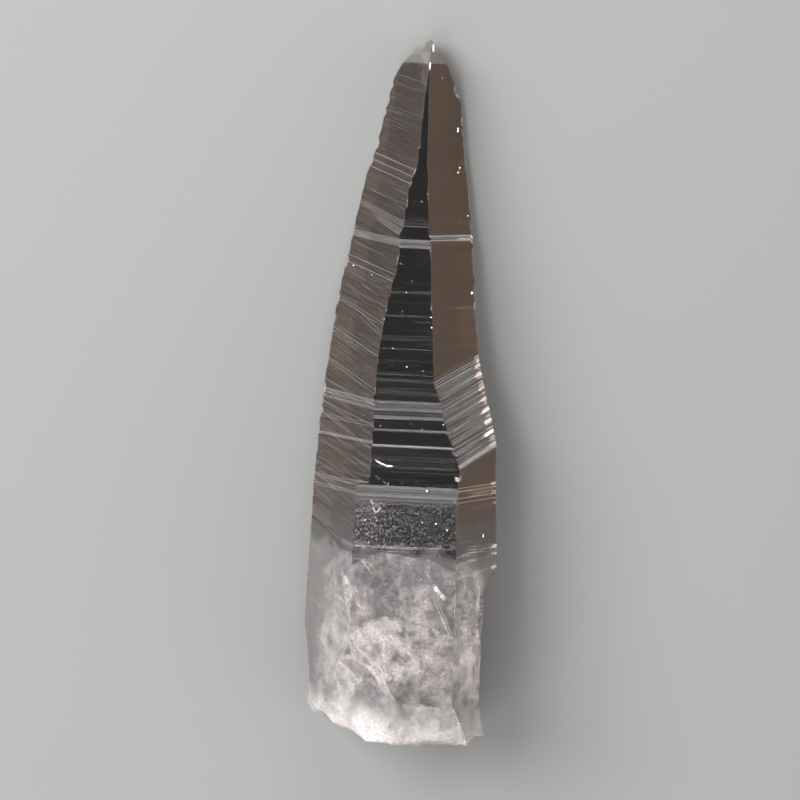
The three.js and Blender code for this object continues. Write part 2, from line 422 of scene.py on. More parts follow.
for corner, wanted in moves.items():
    (out, depth), *more = wanted
    beside = [m for m in more if abs(m[0].dot(out)) < ALIKE]
    if not beside:
        corner.co += out * depth
        continue
    other, other_depth = beside[0]
    between = out.dot(other)
    first = (depth - between * other_depth) / (1 - between ** 2)
    second = (other_depth - between * depth) / (1 - between ** 2)
    corner.co += out * first + other * second
print(f"{len(moves)} points stepped, {max(abs(d) for w in moves.values() for _, d in w):.2f} mm at most")

# %% [markdown]
# The breaks. Quartz has no plane to split along, so it breaks like glass, in smooth hollows with a
# rippled, frosty skin. The solid has the hollows as coarse flats. Here those are divided until they are
# finer than the ripples, smoothed, and given ripples and a fine tooth by noise. The divided skin still
# shares its rim with the long faces, so the stone stays closed.

# %% Refine the broken skin
SKIN_EDGE = 0.75        # millimetres; longer edges of a break are halved
HALVINGS = 2
SMOOTHINGS = 3
RIPPLE_GAP = 1.3        # millimetres from one ripple to the next
RIPPLE_DEPTH = 0.05
RIPPLE_BEND = 4         # the size of the bends in a ripple
RIPPLE_PATCH = 3        # and of the patches where the ripples are strong or faint
HUMP_SIZE = 2.5
HUMP_HEIGHT = 0.22
TOOTH_SIZE = 0.8        # the fine roughness over all of it
TOOTH_HEIGHT = 0.07
STRIKE = Vector((-16, 9, 4))    # where the blow fell that broke the foot off; the ripples run round it

for _ in range(HALVINGS):
    long_edges = [
        e for e in stone.edges
        if e.calc_length() > SKIN_EDGE and all(is_break(f) for f in e.link_faces)
    ]
    bmesh.ops.subdivide_edges(stone, edges=long_edges, cuts=1, use_grid_fill=True)
    bmesh.ops.triangulate(stone, faces=[f for f in stone.faces if is_break(f) and len(f.verts) > 3])

skin = [v for v in stone.verts if all(is_break(f) for f in v.link_faces)]
for _ in range(SMOOTHINGS):
    bmesh.ops.smooth_vert(
        stone, verts=skin, factor=0.5, use_axis_x=True, use_axis_y=True, use_axis_z=True
    )
stone.normal_update()
for corner in skin:
    at = corner.co
    bend = 3 * noise.noise(at / RIPPLE_BEND)
    ripple = math.sin(math.tau * (at - STRIKE).length / RIPPLE_GAP + bend)
    height = RIPPLE_DEPTH * ripple * (0.5 + noise.noise(at / RIPPLE_PATCH))
    height += HUMP_HEIGHT * noise.noise(at / HUMP_SIZE)
    height += TOOTH_HEIGHT * noise.fractal(at / TOOTH_SIZE, 1, 2, 3)
    corner.co += corner.normal * height
print(f"broken skin: {len(skin)} points")

# %% [markdown]
# The finish, place by place. A crystal's surface is not the same all over: one face is polished, another
# is ruled or etched, the foot is milky and its rim is crushed white. An image painted over the stone
# could say so, but the mesh can keep it as numbers: how much of a place is matt white, how closely it is
# ruled or etched, and how much warm colour its face gets as a painted reflection. The shader then reads
# them.

# %% How each face is finished
# How white each face is all over, how closely it is ruled, the slant of its hairlines, and how much warm
# colour is painted on it as a painted reflection.
FINISH = {
    "front": (0.0, 0.12, 0, 0),
    "left": (0.03, 1.0, -0.19, 0.85),
    "right": (0.12, 0.08, 0.0, 1.0),
    "back_right": (0.03, 0.6, 0.06, 0.3),
    "back_left": (0.03, 0.6, -0.05, 0.1),
    "rest": (0.004, 0.1, 0, 0),
    "tip": (0.17, 0.3, 0, 0.12),
    "break": (0.05, 0, 0, 0),
}
FLARE_HEIGHTS = (55.9, 72.2)    # where the flare's lines cross the right face's middle
FLARE_FINISH = (0.045, 1.0, FLARE_SLANT, 0.3)
PAINTED_WARMTH_FROM = (38, 47)    # below this stretch the foot is milky, and gets no painted warm reflection
COLD_CLEARER = 0.6      # and there the right face loses this share of its frost
MILK_TOP = 38.8         # millimetres up the axis, where the clear growth starts over the milky foot
MILK = 0.11
RIM_FULL = 2            # the crushed rim of the foot is at its whitest up to here
RIM_TOP = 11.5          # and reaches this high
RIM_WHITE = 0.62
RIM_FADE = (-6, 4)      # across this stretch it gets less white towards the right
RIM_RIGHT_LESS = 0.4
BORDER_WAVE = 3         # millimetres, the size of the waves in the borders of the milk and the rim
CHIPS_FROM = 45         # millimetres up the axis; a break above this is a chip in an edge
CHIP_WHITE = 0.2
ETCHED_FROM = (38.4, 40)        # the etched band fades in at its foot
ETCHED_TO = (46.5, 49.3)        # and out at its top
ETCH_FADE = (-7, 2)             # and across this stretch it gets fainter towards the right
ETCH_RIGHT_LESS = 0.5


def share_between(value, low, high):
    """0 below low, 1 above high, and a smooth change between."""
    share = max(0.0, min(1.0, (value - low) / (high - low)))
    return share * share * (3 - 2 * share)


def frost_at(name, even, at):
    """The share of a place's surface that is matt white, but for the ledges."""
    rough_height = at.y + BORDER_WAVE * noise.noise(at / BORDER_WAVE)
    frost = even
    frost += MILK * (1 - share_between(rough_height, MILK_TOP - 1, MILK_TOP + 1))
    left_side = 1 - RIM_RIGHT_LESS * share_between(at.x, *RIM_FADE)
    frost += RIM_WHITE * left_side * (1 - share_between(rough_height, RIM_FULL, RIM_TOP))
    if name == "break" and at.y > CHIPS_FROM:
        frost += CHIP_WHITE
    return frost


def etch_at(name, at):
    """How closely a place is etched: only a band low on the uppermost face is."""
    if name != "front":
        return 0.0
    etch = share_between(at.y, *ETCHED_FROM) * (1 - share_between(at.y, *ETCHED_TO))
    return etch * (1 - ETCH_RIGHT_LESS * share_between(at.x, *ETCH_FADE))


print("finishes:", ", ".join(FINISH))

# %% [markdown]
# Wear. The stone's edges have knocked against others, so they are nicked and pale, and the painted warm
# reflection is left off them. For that each place keeps how far it is from the nearest edge between two
# faces. Points are set along every such edge, and a tree of them finds the nearest one quickly.

# %% How far a place is from an edge
EDGE_STEP = 0.25        # millimetres between the points that stand for an edge

borders = [e for e in stone.edges if len({f[region_layer] for f in e.link_faces}) > 1]
edge_points = []
for edge in borders:
    a, b = (v.co for v in edge.verts)
    steps = max(1, round((b - a).length / EDGE_STEP))
    edge_points += [a.lerp(b, i / steps) for i in range(steps + 1)]
edge_tree = KDTree(len(edge_points))
for i, point in enumerate(edge_points):
    edge_tree.insert(point, i)
edge_tree.balance()


def to_edge(point):
    """How far a point is from the nearest edge between two faces of the stone."""
    return edge_tree.find(point)[2]


print(f"edges between faces: {sum(e.calc_length() for e in borders):.0f} mm")

# %% [markdown]
# Now every corner of every triangle gets its numbers. It also keeps where it is across and up its face,
# along the growth lines, so that the finest lines of all, too fine for the mesh, still run with the cut
# ones. A corner between two faces keeps one set for each, so the finish changes sharply at an edge.

# %% Give each place its numbers
STONE_NUMBERS = ("frost", "ruled", "etch", "painted_warmth", "edge_mm")
STEEP = 0.35            # a ledge that looks up the axis by more than this is not worn
UNWORN = 5              # millimetres, as if it were this far from any edge
PAINTED_WARMTH_OFF = 12           # a ledge with a frost of one part in this many, or more, gets no painted warm reflection
FACE_APART = 37         # millimetres; each face takes its hairlines from another part of the noise

numbers = {name: stone.loops.layers.float.new(name) for name in STONE_NUMBERS}
line_layer = stone.loops.layers.float_vector.new("lines_at")
bmesh.ops.triangulate(stone, faces=stone.faces)
edge_distance = {corner: to_edge(corner.co) for corner in stone.verts}
for facet in stone.faces:
    name = REGIONS[facet[region_layer]]
    middle = facet.calc_center_median()
    across = directions(WAYS[name][0])[1] if name in WAYS else Vector((1, 0, 0))
    across_middle = across.dot(middle)
    finish = FINISH[name]
    flare_height = middle.y - FLARE_SLANT * across_middle
    if name == "right" and FLARE_HEIGHTS[0] < flare_height < FLARE_HEIGHTS[1]:
        finish = FLARE_FINISH
    even, ruled, slant, painted_warmth = finish
    ledges = [
        line for line in lines_near(name, middle.y)
        if abs(line.over(middle.y, across_middle)) < line.ledge / 2
    ]
    to_middle = to_edge(middle)
    spans = max(edge_distance[v] for v in facet.verts) < to_middle / 2     # it reaches from edge to edge
    steep = name != "break" and facet.normal.y > STEEP
    facet.smooth = is_break(facet)
    for loop in facet.loops:
        at = loop.vert.co
        across_at = across.dot(at)
        on_ledge = sum(line.frost * line.there(across_at) for line in ledges)
        # the warm colour is a painted reflection: it fades in above the milky foot and is left off the
        # white ledges
        painted_warmth_here = painted_warmth * share_between(at.y, *PAINTED_WARMTH_FROM)
        cold = 1 - share_between(at.y, *PAINTED_WARMTH_FROM) if name == "right" else 0
        to_wear = to_middle if spans else edge_distance[loop.vert]
        loop[numbers["frost"]] = frost_at(name, even * (1 - COLD_CLEARER * cold), at) + on_ledge
        loop[numbers["ruled"]] = ruled
        loop[numbers["etch"]] = etch_at(name, at)
        loop[numbers["painted_warmth"]] = painted_warmth_here * max(0.0, 1 - PAINTED_WARMTH_OFF * on_ledge)
        loop[numbers["edge_mm"]] = UNWORN if steep else to_wear
        loop[line_layer] = (across_at, at.y - slant * across_at, FACE_APART * facet[region_layer])
print(f"numbered: {len(stone.faces)} triangles")

# %% [markdown]
# The piece itself. It is laid down with the same matrix, rides on the part's one body, and takes the
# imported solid's place. The finest of its points near the floor may have sunk a little, and are put back.

# %% Make the piece
ON_FLOOR = 0.05         # millimetres; a point nearer the floor than this may not be below it

stone.transform(LAID_DOWN)
for corner in stone.verts:
    if abs(corner.co.z) < ON_FLOOR * MM:
        corner.co.z = max(corner.co.z, 0)

crystal_mesh = bpy.data.meshes.new("crystal")
stone.to_mesh(crystal_mesh)
crystal = bpy.data.objects.new("crystal", crystal_mesh)
bpy.context.scene.collection.objects.link(crystal)
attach(crystal, "root")
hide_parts("quartz_crystal")
print(f"crystal: {len(crystal_mesh.polygons)} triangles")

# %% [markdown]
# Materials are chains of nodes. Two small helpers keep them readable: one turns a colour picked from a
# colour chart to the linear light that a shader works in, and one adds a node with its settings and
# the links into it, and gives back the output that the next node needs.

# %% Colour and node helpers
def linear(hex_colour):
    """An sRGB hex colour as linear red, green, blue and alpha."""
    shares = [int(hex_colour[i:i + 2], 16) / 255 for i in (1, 3, 5)]
    light = [s / 12.92 if s <= 0.04045 else ((s + 0.055) / 1.055) ** 2.4 for s in shares]
    return (*light, 1)


def add(material, kind, inputs=None, output=0, **settings):
    """Adds a node. An input is a value, or the output of another node to link from."""
    node = material.node_tree.nodes.new("ShaderNode" + kind)
    for name, value in settings.items():
        setattr(node, name, value)
    for name, value in (inputs or {}).items():
        if isinstance(value, bpy.types.NodeSocket):
            material.node_tree.links.new(value, node.inputs[name])
        else:
            node.inputs[name].default_value = value
    return node.outputs[output] if node.outputs else node


def new_material(name):
    """A material with no nodes yet."""
    material = bpy.data.materials.new(name)
    material.use_nodes = True
    material.node_tree.nodes.clear()
    return material


# %% [markdown]
# Quartz itself. It is silica, clear as glass, with a refractive index of 1.544, so it takes the plain
# glass of the Principled shader, with a trace of absorption. Growth faces are polished by nature. What
# scatters on them is the slope of each ledge, the hairlines, a band of etched specks low on the
# uppermost face, worn edges, and the crushed rim of the foot. All these are drawn as frost: a share of
# the surface that is matt white where the rest is clear.

# %% What the mesh keeps, as sockets
MM_FROM_M = (1 / MM, 1 / MM, 1 / MM)

quartz = new_material("natural_quartz")
frost, ruled, etch, painted_warmth, edge_mm = (
    add(quartz, "Attribute", output="Fac", attribute_name=name) for name in STONE_NUMBERS
)
lines_at = add(quartz, "Attribute", output="Vector", attribute_name="lines_at")
place_m = add(quartz, "TexCoord", output="Object")
place_mm = add(quartz, "Mapping", {"Vector": place_m, "Scale": MM_FROM_M})
print("numbers read:", ", ".join(STONE_NUMBERS))

# %% Hairlines, grain, specks and worn edges
# Millimetres. The real hairlines, grain and specks are finer than the picture can show, so they are
# drawn as coarse as they need to be to show at all.
HAIR_LENGTH = 14        # along a hairline before it fades
HAIR_GAP = 0.2          # and from one to the next
GRAIN_SIZE = 0.35       # the unevenness of frosted quartz
SPECK_SIZE = 0.14       # of the pits in the etched band
NICK_LENGTH = 1.4       # along a worn edge, from one nick to the next
NICK_DEPTH = 0.4        # and how far a nick reaches in from the edge

hair_place = add(quartz, "Mapping", {"Vector": lines_at, "Scale": (1 / HAIR_LENGTH, 1 / HAIR_GAP, 1)})
hairs = add(quartz, "TexNoise", {"Vector": hair_place, "Scale": 1, "Detail": 5, "Roughness": 0.7})
hair_frost = add(
    quartz, "MapRange",
    {"Value": hairs, "From Min": 0.5, "From Max": 0.68, "To Min": 0, "To Max": 0.07},
)
grain = add(
    quartz, "TexNoise",
    {"Vector": place_mm, "Scale": 0.5 / GRAIN_SIZE, "Detail": 5, "Roughness": 0.7},
)
grain_share = add(
    quartz, "MapRange", {"Value": grain, "From Min": 0.3, "From Max": 0.7, "To Min": 0.75, "To Max": 1.25}
)
speck_place = add(
    quartz, "Mapping", {"Vector": lines_at, "Scale": (0.5 / SPECK_SIZE, 0.32 / SPECK_SIZE, 1)}
)
specks = add(
    quartz, "TexNoise",
    {"Vector": speck_place, "Scale": 1, "Detail": 4, "Roughness": 0.6, "Distortion": 0.9},
)
speck_frost = add(
    quartz, "MapRange",
    {"Value": specks, "From Min": 0.5, "From Max": 0.68, "To Min": 0, "To Max": 0.42},
)
nicks = add(
    quartz, "TexNoise",
    {"Vector": place_mm, "Scale": 0.5 / NICK_LENGTH, "Detail": 4, "Roughness": 0.75},
)
nick_depth = add(
    quartz, "MapRange",
    {"Value": nicks, "From Min": 0.55, "From Max": 0.72, "To Min": 0.001, "To Max": NICK_DEPTH},
)
worn = add(
    quartz, "MapRange",
    {"Value": edge_mm, "From Min": 0, "From Max": nick_depth, "To Min": 0.3, "To Max": 0},
)

# %% [markdown]
# The patterns now add up to one frost. It has three uses: where it is high the stone is matt white and
# not clear, its surface is rougher, and its skin is bumpy. The warm colour is the other way round. It is
# painted on to stand in for a warm reflection, and it is left off wherever the stone has been rubbed or
# scratched: on the edges, and along every hairline.

# %% How frosted a place is
hair_part = add(quartz, "Math", {0: hair_frost, 1: ruled}, operation="MULTIPLY")
ground = add(quartz, "Math", {0: frost, 1: grain_share, 2: hair_part}, operation="MULTIPLY_ADD")
etched = add(quartz, "Math", {0: speck_frost, 1: etch, 2: ground}, operation="MULTIPLY_ADD")
frosted = add(quartz, "Math", {0: etched, 1: worn}, operation="ADD")
clear = add(quartz, "Math", {0: 1.0, 1: frosted}, operation="SUBTRACT", use_clamp=True)
roughness = add(quartz, "Math", {0: frosted, 1: 0.4, 2: 0.015}, operation="MULTIPLY_ADD", use_clamp=True)

# %% How much painted warm reflection a place has
white = add(quartz, "Math", {0: worn, 1: 5.0, 2: hair_part}, operation="MULTIPLY_ADD")
away_from_edges = add(
    quartz, "MapRange", {"Value": edge_mm, "From Min": 0.02, "From Max": 0.25, "To Min": 0, "To Max": 1}
)
painted_warmth_clear_of_edges = add(quartz, "Math", {0: painted_warmth, 1: away_from_edges}, operation="MULTIPLY")
painted_warm_share = add(quartz, "Math", {0: white, 1: -8.0, 2: painted_warmth_clear_of_edges}, operation="MULTIPLY_ADD", use_clamp=True)

# %% The bumps of its skin
line_height = add(quartz, "Math", {0: hairs, 1: ruled}, operation="MULTIPLY")
line_bump = add(quartz, "Bump", {"Strength": 0.5, "Distance": 0.02 * MM, "Height": line_height})
pits = add(quartz, "Math", {0: specks, 1: etch}, operation="MULTIPLY")
tooth = add(quartz, "Math", {0: grain, 1: frost, 2: pits}, operation="MULTIPLY_ADD")
skin_bump = add(
    quartz, "Bump", {"Strength": 0.7, "Distance": 0.12 * MM, "Height": tooth, "Normal": line_bump}
)

# %% Clear quartz, grown and broken
QUARTZ_IOR = 1.544
TINT = "#c4aea0"
TINT_PER_M = 2.0        # how fast the tint deepens along a ray, per metre; this stone is almost colourless
FROST_PALE = "#f4ecea"
# A warm brown painted on the long faces, a painted reflection of warm surroundings
PAINTED_REFLECTION_WARM = "#b07c4a"

colour = add(
    quartz, "Mix", {"Factor": painted_warm_share, "A": linear(FROST_PALE), "B": linear(PAINTED_REFLECTION_WARM)},
    output="Result", data_type="RGBA",
)
surface = add(
    quartz, "BsdfPrincipled",
    {
        "Base Color": colour,
        "Roughness": roughness,
        "IOR": QUARTZ_IOR,
        "Transmission Weight": clear,
        "Normal": skin_bump,
    },
)
tint = add(quartz, "VolumeAbsorption", {"Color": linear(TINT), "Density": TINT_PER_M})
add(quartz, "OutputMaterial", {"Surface": surface, "Volume": tint})
crystal_mesh.materials.append(quartz)
print("quartz nodes:", len(quartz.node_tree.nodes))

# %% [markdown]
# The veils. The foot of the stone cracked while it was still growing, and later growth healed the
# cracks and sealed in sheets of tiny bubbles. They look like torn white gauze hung in the glass, bright
# where one is seen along its edge and faint where it is seen through. Each is a real sheet here, hung
# like a curtain from a line of points inside the stone, waved by noise and torn by its material. A
# volume of mist would blur these crisp edges, and it would be lost when the model is exported.

# %% Find the way inside the stone
CLEAR_OF_SKIN = 0.15    # millimetres; a sheet stops this far inside the stone
ABOVE = 40              # millimetres out from the axis, clear of the stone

skin_tree = BVHTree.FromObject(crystal, bpy.context.evaluated_depsgraph_get())


def inside(point):
    """Whether a point of the crystal's own frame is well inside the stone."""
    here_m = LAID_DOWN @ point
    nearest, normal, _, distance = skin_tree.find_nearest(here_m)
    return normal.dot(here_m - nearest) < 0 and distance > CLEAR_OF_SKIN * MM


def along(points, share):
    """The point at a share of the way along a line of points."""
    place_on_line = share * (len(points) - 1)
    i = min(int(place_on_line), len(points) - 2)
    return points[i].lerp(points[i + 1], place_on_line - i)


def under_skin(x, height, depth):
    """The point a little way in from the stone's upper skin."""
    start = place(x, height, ABOVE)
    met = skin_tree.ray_cast(start, LAID_DOWN.to_3x3() @ Vector((0, 0, -1)))[0]
    return STOOD_UP @ met - Vector((0, 0, depth))


print("the skin is", round(under_skin(0, 60, 0).z, 1), "mm out from the axis, 60 mm up it")

# %% Hang a sheet
CLOTH = 0.5             # millimetres between the points of a sheet
WAVE_SIZE = 3.5         # millimetres, the size of the waves in it
SIDE_FADE = 1 / 6       # the share of its length over which it fades in from each side
FOOT_FADE = 1 / 4       # and of its drop over which it fades out
CLOUDY, STREAKED, WHOLE = 0.0, 1.0, 2.0     # torn into clouds, torn into streaks, or not torn
SHEET_NUMBERS = ("edge", "whiteness", "streaky", "down", "along")
WAVE_SEED = 7           # without a seed, the noise that waves the sheets changes from run to run

noise.seed_set(WAVE_SEED)
sheets = bmesh.new()
for name in SHEET_NUMBERS:
    sheets.verts.layers.float.new(name)


def keep(corner, *values):
    """What the gauze needs to know of a point of a sheet: its sheet numbers, in their order."""
    for name, value in zip(SHEET_NUMBERS, values, strict=True):
        corner[sheets.verts.layers.float[name]] = value


def hang(points, drop, whiteness, wave, streaky, seed, cloth=CLOTH, trimmed=True):
    """Adds one sheet: it hangs from a line of points by the drop, waved by noise, and may be trimmed."""
    points = [Vector(p) for p in points]
    drop = Vector(drop)
    length = sum((b - a).length for a, b in zip(points, points[1:]))
    steps_along = max(4, round(length / cloth))
    steps_down = max(2, round(drop.length / cloth))
    shift = Vector((31.7 * seed, 12.9 * seed, 7.3 * seed))      # each sheet takes its own part of the noise
    rows = []
    for i in range(steps_along + 1):
        row = []
        for j in range(steps_down + 1):
            u, v = i / steps_along, j / steps_down
            point = along(points, u) + drop * v
            point += wave * noise.noise_vector((point + shift) / WAVE_SIZE) * (0.3 + v)
            corner = sheets.verts.new(point)
            edge = min(1, u / SIDE_FADE, (1 - u) / SIDE_FADE, (1 - v) / FOOT_FADE)
            keep(corner, edge, whiteness, streaky, v * drop.length, u * length + 17 * seed)
            row.append(corner if inside(point) or not trimmed else None)
        rows.append(row)
    for upper, lower in zip(rows, rows[1:]):
        for a, b, c, d in zip(upper, upper[1:], lower[1:], lower):
            if a and b and c and d:
                sheets.faces.new((a, b, c, d)).smooth = True


def speck(point, size, whiteness):
    """Adds a tiny closed bubble or grain."""
    made = bmesh.ops.create_icosphere(
        sheets, subdivisions=1, radius=size / 2, matrix=Matrix.Translation(point)
    )
    for corner in made["verts"]:
        keep(corner, 1, 3 * whiteness, WHOLE, 0, 0)


# %% The veils of the foot
# Each is the line that it hangs from, across, up the axis and out; how it drops; and its whiteness.
CLOUDS = [
    (((0.7, 34.5, 11), (-0.6, 25.6, 11), (0.8, 22.5, 11)), (7, -2, -4), 0.5),
    (((-4.6, 25, 11.5), (-2, 26, 11.5), (0.3, 25.2, 11.5), (3.4, 21.5, 11)), (1.5, -6, -3), 0.75),
    (((-8.8, 22.2, 9), (-7, 19.6, 9), (-5, 16.9, 9), (-2.6, 14.6, 9), (1, 10.4, 9)), (7, 4, -5), 0.65),
    (((9.5, 37, 9), (12, 30, 8), (11, 18, 9), (12, 5, 9)), (6, -1, -6), 0.65),
    (((10.5, 22.7, 9), (12.2, 20.5, 8), (13.9, 17.1, 7), (15.3, 13, 6)), (1.5, -5, -5), 0.8),
    (((3, 34, 9), (5, 27, 10), (6, 20, 10), (7, 12, 10)), (4.5, -3, -7), 0.5),
    (((-12, 36, 4), (-11, 28, 4), (-12, 18, 4), (-12, 9, 4)), (8, -3, -6), 0.4),
    (((-10, 14, 6), (-4, 12, 8), (2, 10, 9), (9, 9, 8)), (1, -6, -9), 0.7),
    (((-13, 32, -4), (-4, 37, -3), (5, 36, -4), (14, 32, -4)), (-1, -26, -3), 0.35),
    (((-12, 20, -9), (-3, 24, -8), (6, 22, -9), (14, 20, -8)), (0, -16, 3), 0.5),
    (((3, 39, 2), (2, 27, -2), (4, 15, 1), (2, 4, -1)), (2, 0, -10), 0.35),
    (((-6, 30, 8), (-4, 20, 7), (-6, 10, 6)), (-2, -2, -12), 0.4),
    (((-1, 18, 12), (1, 13, 12), (4, 8, 11)), (3, -4, -10), 0.55),
    (((5, 16, 12), (8, 12, 12), (10, 7, 11)), (3, -3, -9), 0.55),
]
CRACKS = [
    (((-9.9, 34.6, 12.2), (-8.4, 31, 12.4), (-6.9, 27.8, 12.6), (-4.5, 24.5, 12.4)), (-0.4, -0.4, -6), 1.8),
    (((-2.7, 34.1, 12.3), (-3.6, 31.8, 12.4), (-4.7, 29, 12.4)), (0.5, -0.6, -4), 1.3),
    (((6.7, 33.1, 12.2), (7.9, 31.7, 12.2), (9.4, 30.2, 12)), (-0.7, -0.6, -1.6), 2),
    (((-7.3, 36.9, 12.6), (-4.9, 34, 12.6)), (0.2, 0.2, -2.5), 1.8),
    (((-6.6, 37, 12.6), (-4.4, 34.8, 12.6)), (0.2, 0.2, -2.5), 1.1),
    (((6.9, 29.8, 12.2), (8.3, 27, 12.2), (10.6, 22.7, 11.5)), (-0.4, -0.3, -6), 1.8),
    (((7.6, 29.6, 12), (9.1, 26.6, 12), (11, 22.6, 11.4)), (-0.4, -0.3, -6), 1.3),
    (((-3.6, 23.6, 12.4), (-0.4, 19.5, 12.4), (2.6, 16.9, 12)), (0.3, -0.6, -4), 1.1),
    (((-3.6, 23.6, 12.4), (-2, 20.4, 12.4), (-1.4, 16.8, 12)), (-0.6, -0.2, -4), 0.9),
    (((-3.4, 23.8, 12.4), (0.6, 21.3, 12.4), (3.7, 20.2, 12.2)), (0.2, -0.7, -4), 1.0),
    (((-1.4, 35.7, 12.8), (-0.4, 36.7, 12.8), (0.3, 37.9, 12.8)), (0.2, -0.3, -2), 1.3),
    (((4.7, 35.1, 12.5), (5.9, 33.3, 12.4)), (0.5, 0.1, -2.5), 1.8),
    (((3.6, 21.4, 12), (4.6, 18.7, 12), (4.9, 15.6, 11.8)), (0.8, 0, -5), 1.3),
    (((-14, 20, 0), (-11, 16, 2), (-9, 10, 3)), (1, -1, -7), 1.5),
    (((13.6, 33, 2), (15, 29, 1), (15.4, 25, 0)), (-2, -1, -5), 1.8),
]
for seed, (points, drop, whiteness) in enumerate(CLOUDS):
    hang(points, drop, whiteness, wave=0.9, streaky=CLOUDY, seed=seed)
for seed, (points, drop, whiteness) in enumerate(CRACKS):
    hang(points, drop, whiteness, wave=0.4, streaky=STREAKED, seed=seed + 40)
print(f"veils: {len(CLOUDS)} clouds and {len(CRACKS)} cracks, {len(sheets.faces)} facets")

# %% [markdown]
# Marks in the skin. A scratch or a nick in clear quartz is a thread of crushed stone, and reads as a
# bright white line or dot. A groove cut into the mesh would need very fine facets round it, so each is a
# narrow ribbon laid on the skin, and each grain is a small ball that is sunk into it. The smallest
# bubbles, deeper in, are scattered by chance, more of them low down where the stone is less clear.

# %% Scratches, grains and bubbles
# Each scratch is its line, across and up; its width, across and up; and its whiteness.
SCRATCHES = [
    (((-5.4, 55.9), (-4.2, 55.3), (-3.1, 54.9), (-1.8, 54.9)), (0.05, -0.34), 3),
    (((-5.3, 53.1), (-4.3, 52.2)), (0.1, -0.16), 1.6),
    (((-3.8, 52), (-3.1, 51.4), (-2.9, 51), (-2.6, 51.8)), (0.1, -0.2), 1.8),
    (((-5.9, 48.4), (-4.9, 45.8)), (0.22, 0.05), 2),
    (((-5.8, 48.1), (-3.8, 47)), (0.1, -0.25), 1.4),
    (((-5.5, 47.7), (-4.3, 46.6)), (1, -0.5), 0.9),
    (((-4.9, 45.8), (-3.8, 47)), (0.14, -0.08), 1.6),
    (((-4.8, 45.6), (-4.6, 44.4), (-3.9, 43.4), (-2.8, 42.6), (-1.8, 42.4)), (0.12, -0.14), 1.3),
    (((9.6, 53.3), (10.4, 53.1), (11, 53.7)), (0.1, -0.9), 1.6),
    (((10.8, 53.9), (11.9, 54.3)), (0.05, -0.2), 1.2),
    (((-8.5, 70.6), (-7.8, 68.7)), (0.16, 0), 0.4),
    (((-7.8, 68.7), (-7.4, 70.3)), (0.14, 0), 0.3),
    (((1.9, 133.6), (2, 132)), (0.32, 0), 3),
    (((1.45, 130.2), (1.4, 128.6)), (0.34, 0), 3),
    (((-2.5, 92.6), (-1.9, 92.3)), (0.05, -0.12), 1.2),
]
# Each grain is its place, across and up, and its size.
GRAINS = [
    (4.6, 50.4, 0.5), (15.7, 41.4, 0.4), (15.7, 41.1, 0.4), (7.1, 62.9, 0.3), (3.1, 61.9, 0.25),
    (-0.2, 73.3, 0.35), (3.9, 82.7, 0.4), (4.1, 80.8, 0.4), (-0.9, 87.1, 0.3), (-2.9, 76.6, 0.3),
    (1.2, 104.1, 0.25), (4, 127.2, 0.35), (3, 123.7, 0.3), (7.4, 117.9, 0.6), (7.4, 117.4, 0.7),
    (8.1, 110.5, 0.5), (7.8, 109.6, 0.5), (11.5, 86.8, 0.8), (10.1, 101.4, 0.4), (-11.2, 91, 0.35),
    (-7.6, 89.7, 0.25), (6.6, 44.3, 0.45), (4, 44.4, 0.3), (8.7, 43.2, 0.35), (-6.7, 44.4, 0.4),
]
IN_THE_SKIN = 0.14      # a mark on the skin gets the light unweakened, so it is thinner than a veil
OFF_THE_SKIN = 0.03     # millimetres, how far out a scratch's ribbon lies
SCRATCH_CLOTH = 0.12    # millimetres between its points
SCATTERED = 160         # bubbles too small to place by hand

for seed, (points, width, whiteness) in enumerate(SCRATCHES):
    scratch = [under_skin(x, height, -OFF_THE_SKIN) for x, height in points]
    hang(
        scratch, (*width, 0), IN_THE_SKIN * whiteness,
        wave=0.05, streaky=WHOLE, seed=seed + 80, cloth=SCRATCH_CLOTH, trimmed=False,
    )
for x, height, size in GRAINS:
    speck(under_skin(x, height, 0.25 * size), 0.8 * size, 2 * IN_THE_SKIN)
rng = random.Random(23)
placed = 0
while placed < SCATTERED:
    bubble_point = Vector((rng.uniform(-16, 16), 4 + 122 * rng.random() ** 1.4, rng.uniform(-14, 13)))
    if inside(bubble_point):
        speck(bubble_point, rng.uniform(0.1, 0.2), rng.uniform(0.2, 0.6))
        placed += 1
print(f"{len(SCRATCHES)} scratches, {len(GRAINS)} grains and {placed} bubbles")

# %% Make the veils' piece
bmesh.ops.delete(sheets, geom=[v for v in sheets.verts if not v.link_faces], context="VERTS")
sheets.transform(LAID_DOWN)
veil_mesh = bpy.data.meshes.new("healed_fractures")
sheets.to_mesh(veil_mesh)
veils = bpy.data.objects.new("healed_fractures", veil_mesh)
bpy.context.scene.collection.objects.link(veils)
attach(veils, "root")
print(f"healed fractures: {len(veil_mesh.polygons)} facets")

# %% [markdown]
# The gauze. A healed crack is a film of bubbles, so it is white, a little glossy, and full of holes. The
# holes are drawn as alpha: clouds for the wide veils, streaks for the cracks, and none for a mark in the
# skin, all with the fine grain of bubbles over them. Light goes through many sheets, one behind another,
# so the renderer has to follow it through more see-through layers than it does by default.

# %% Gauze of bubbles
CLOUD_SIZE = 1.3        # millimetres, of the thick and thin places in a sheet
BUBBLE_SIZE = 0.18      # the real ones are finer than the picture can show, so these are coarser
STREAK_GAP = 0.35       # from one streak of a crack to the next
SEE_THROUGH_LAYERS = 24

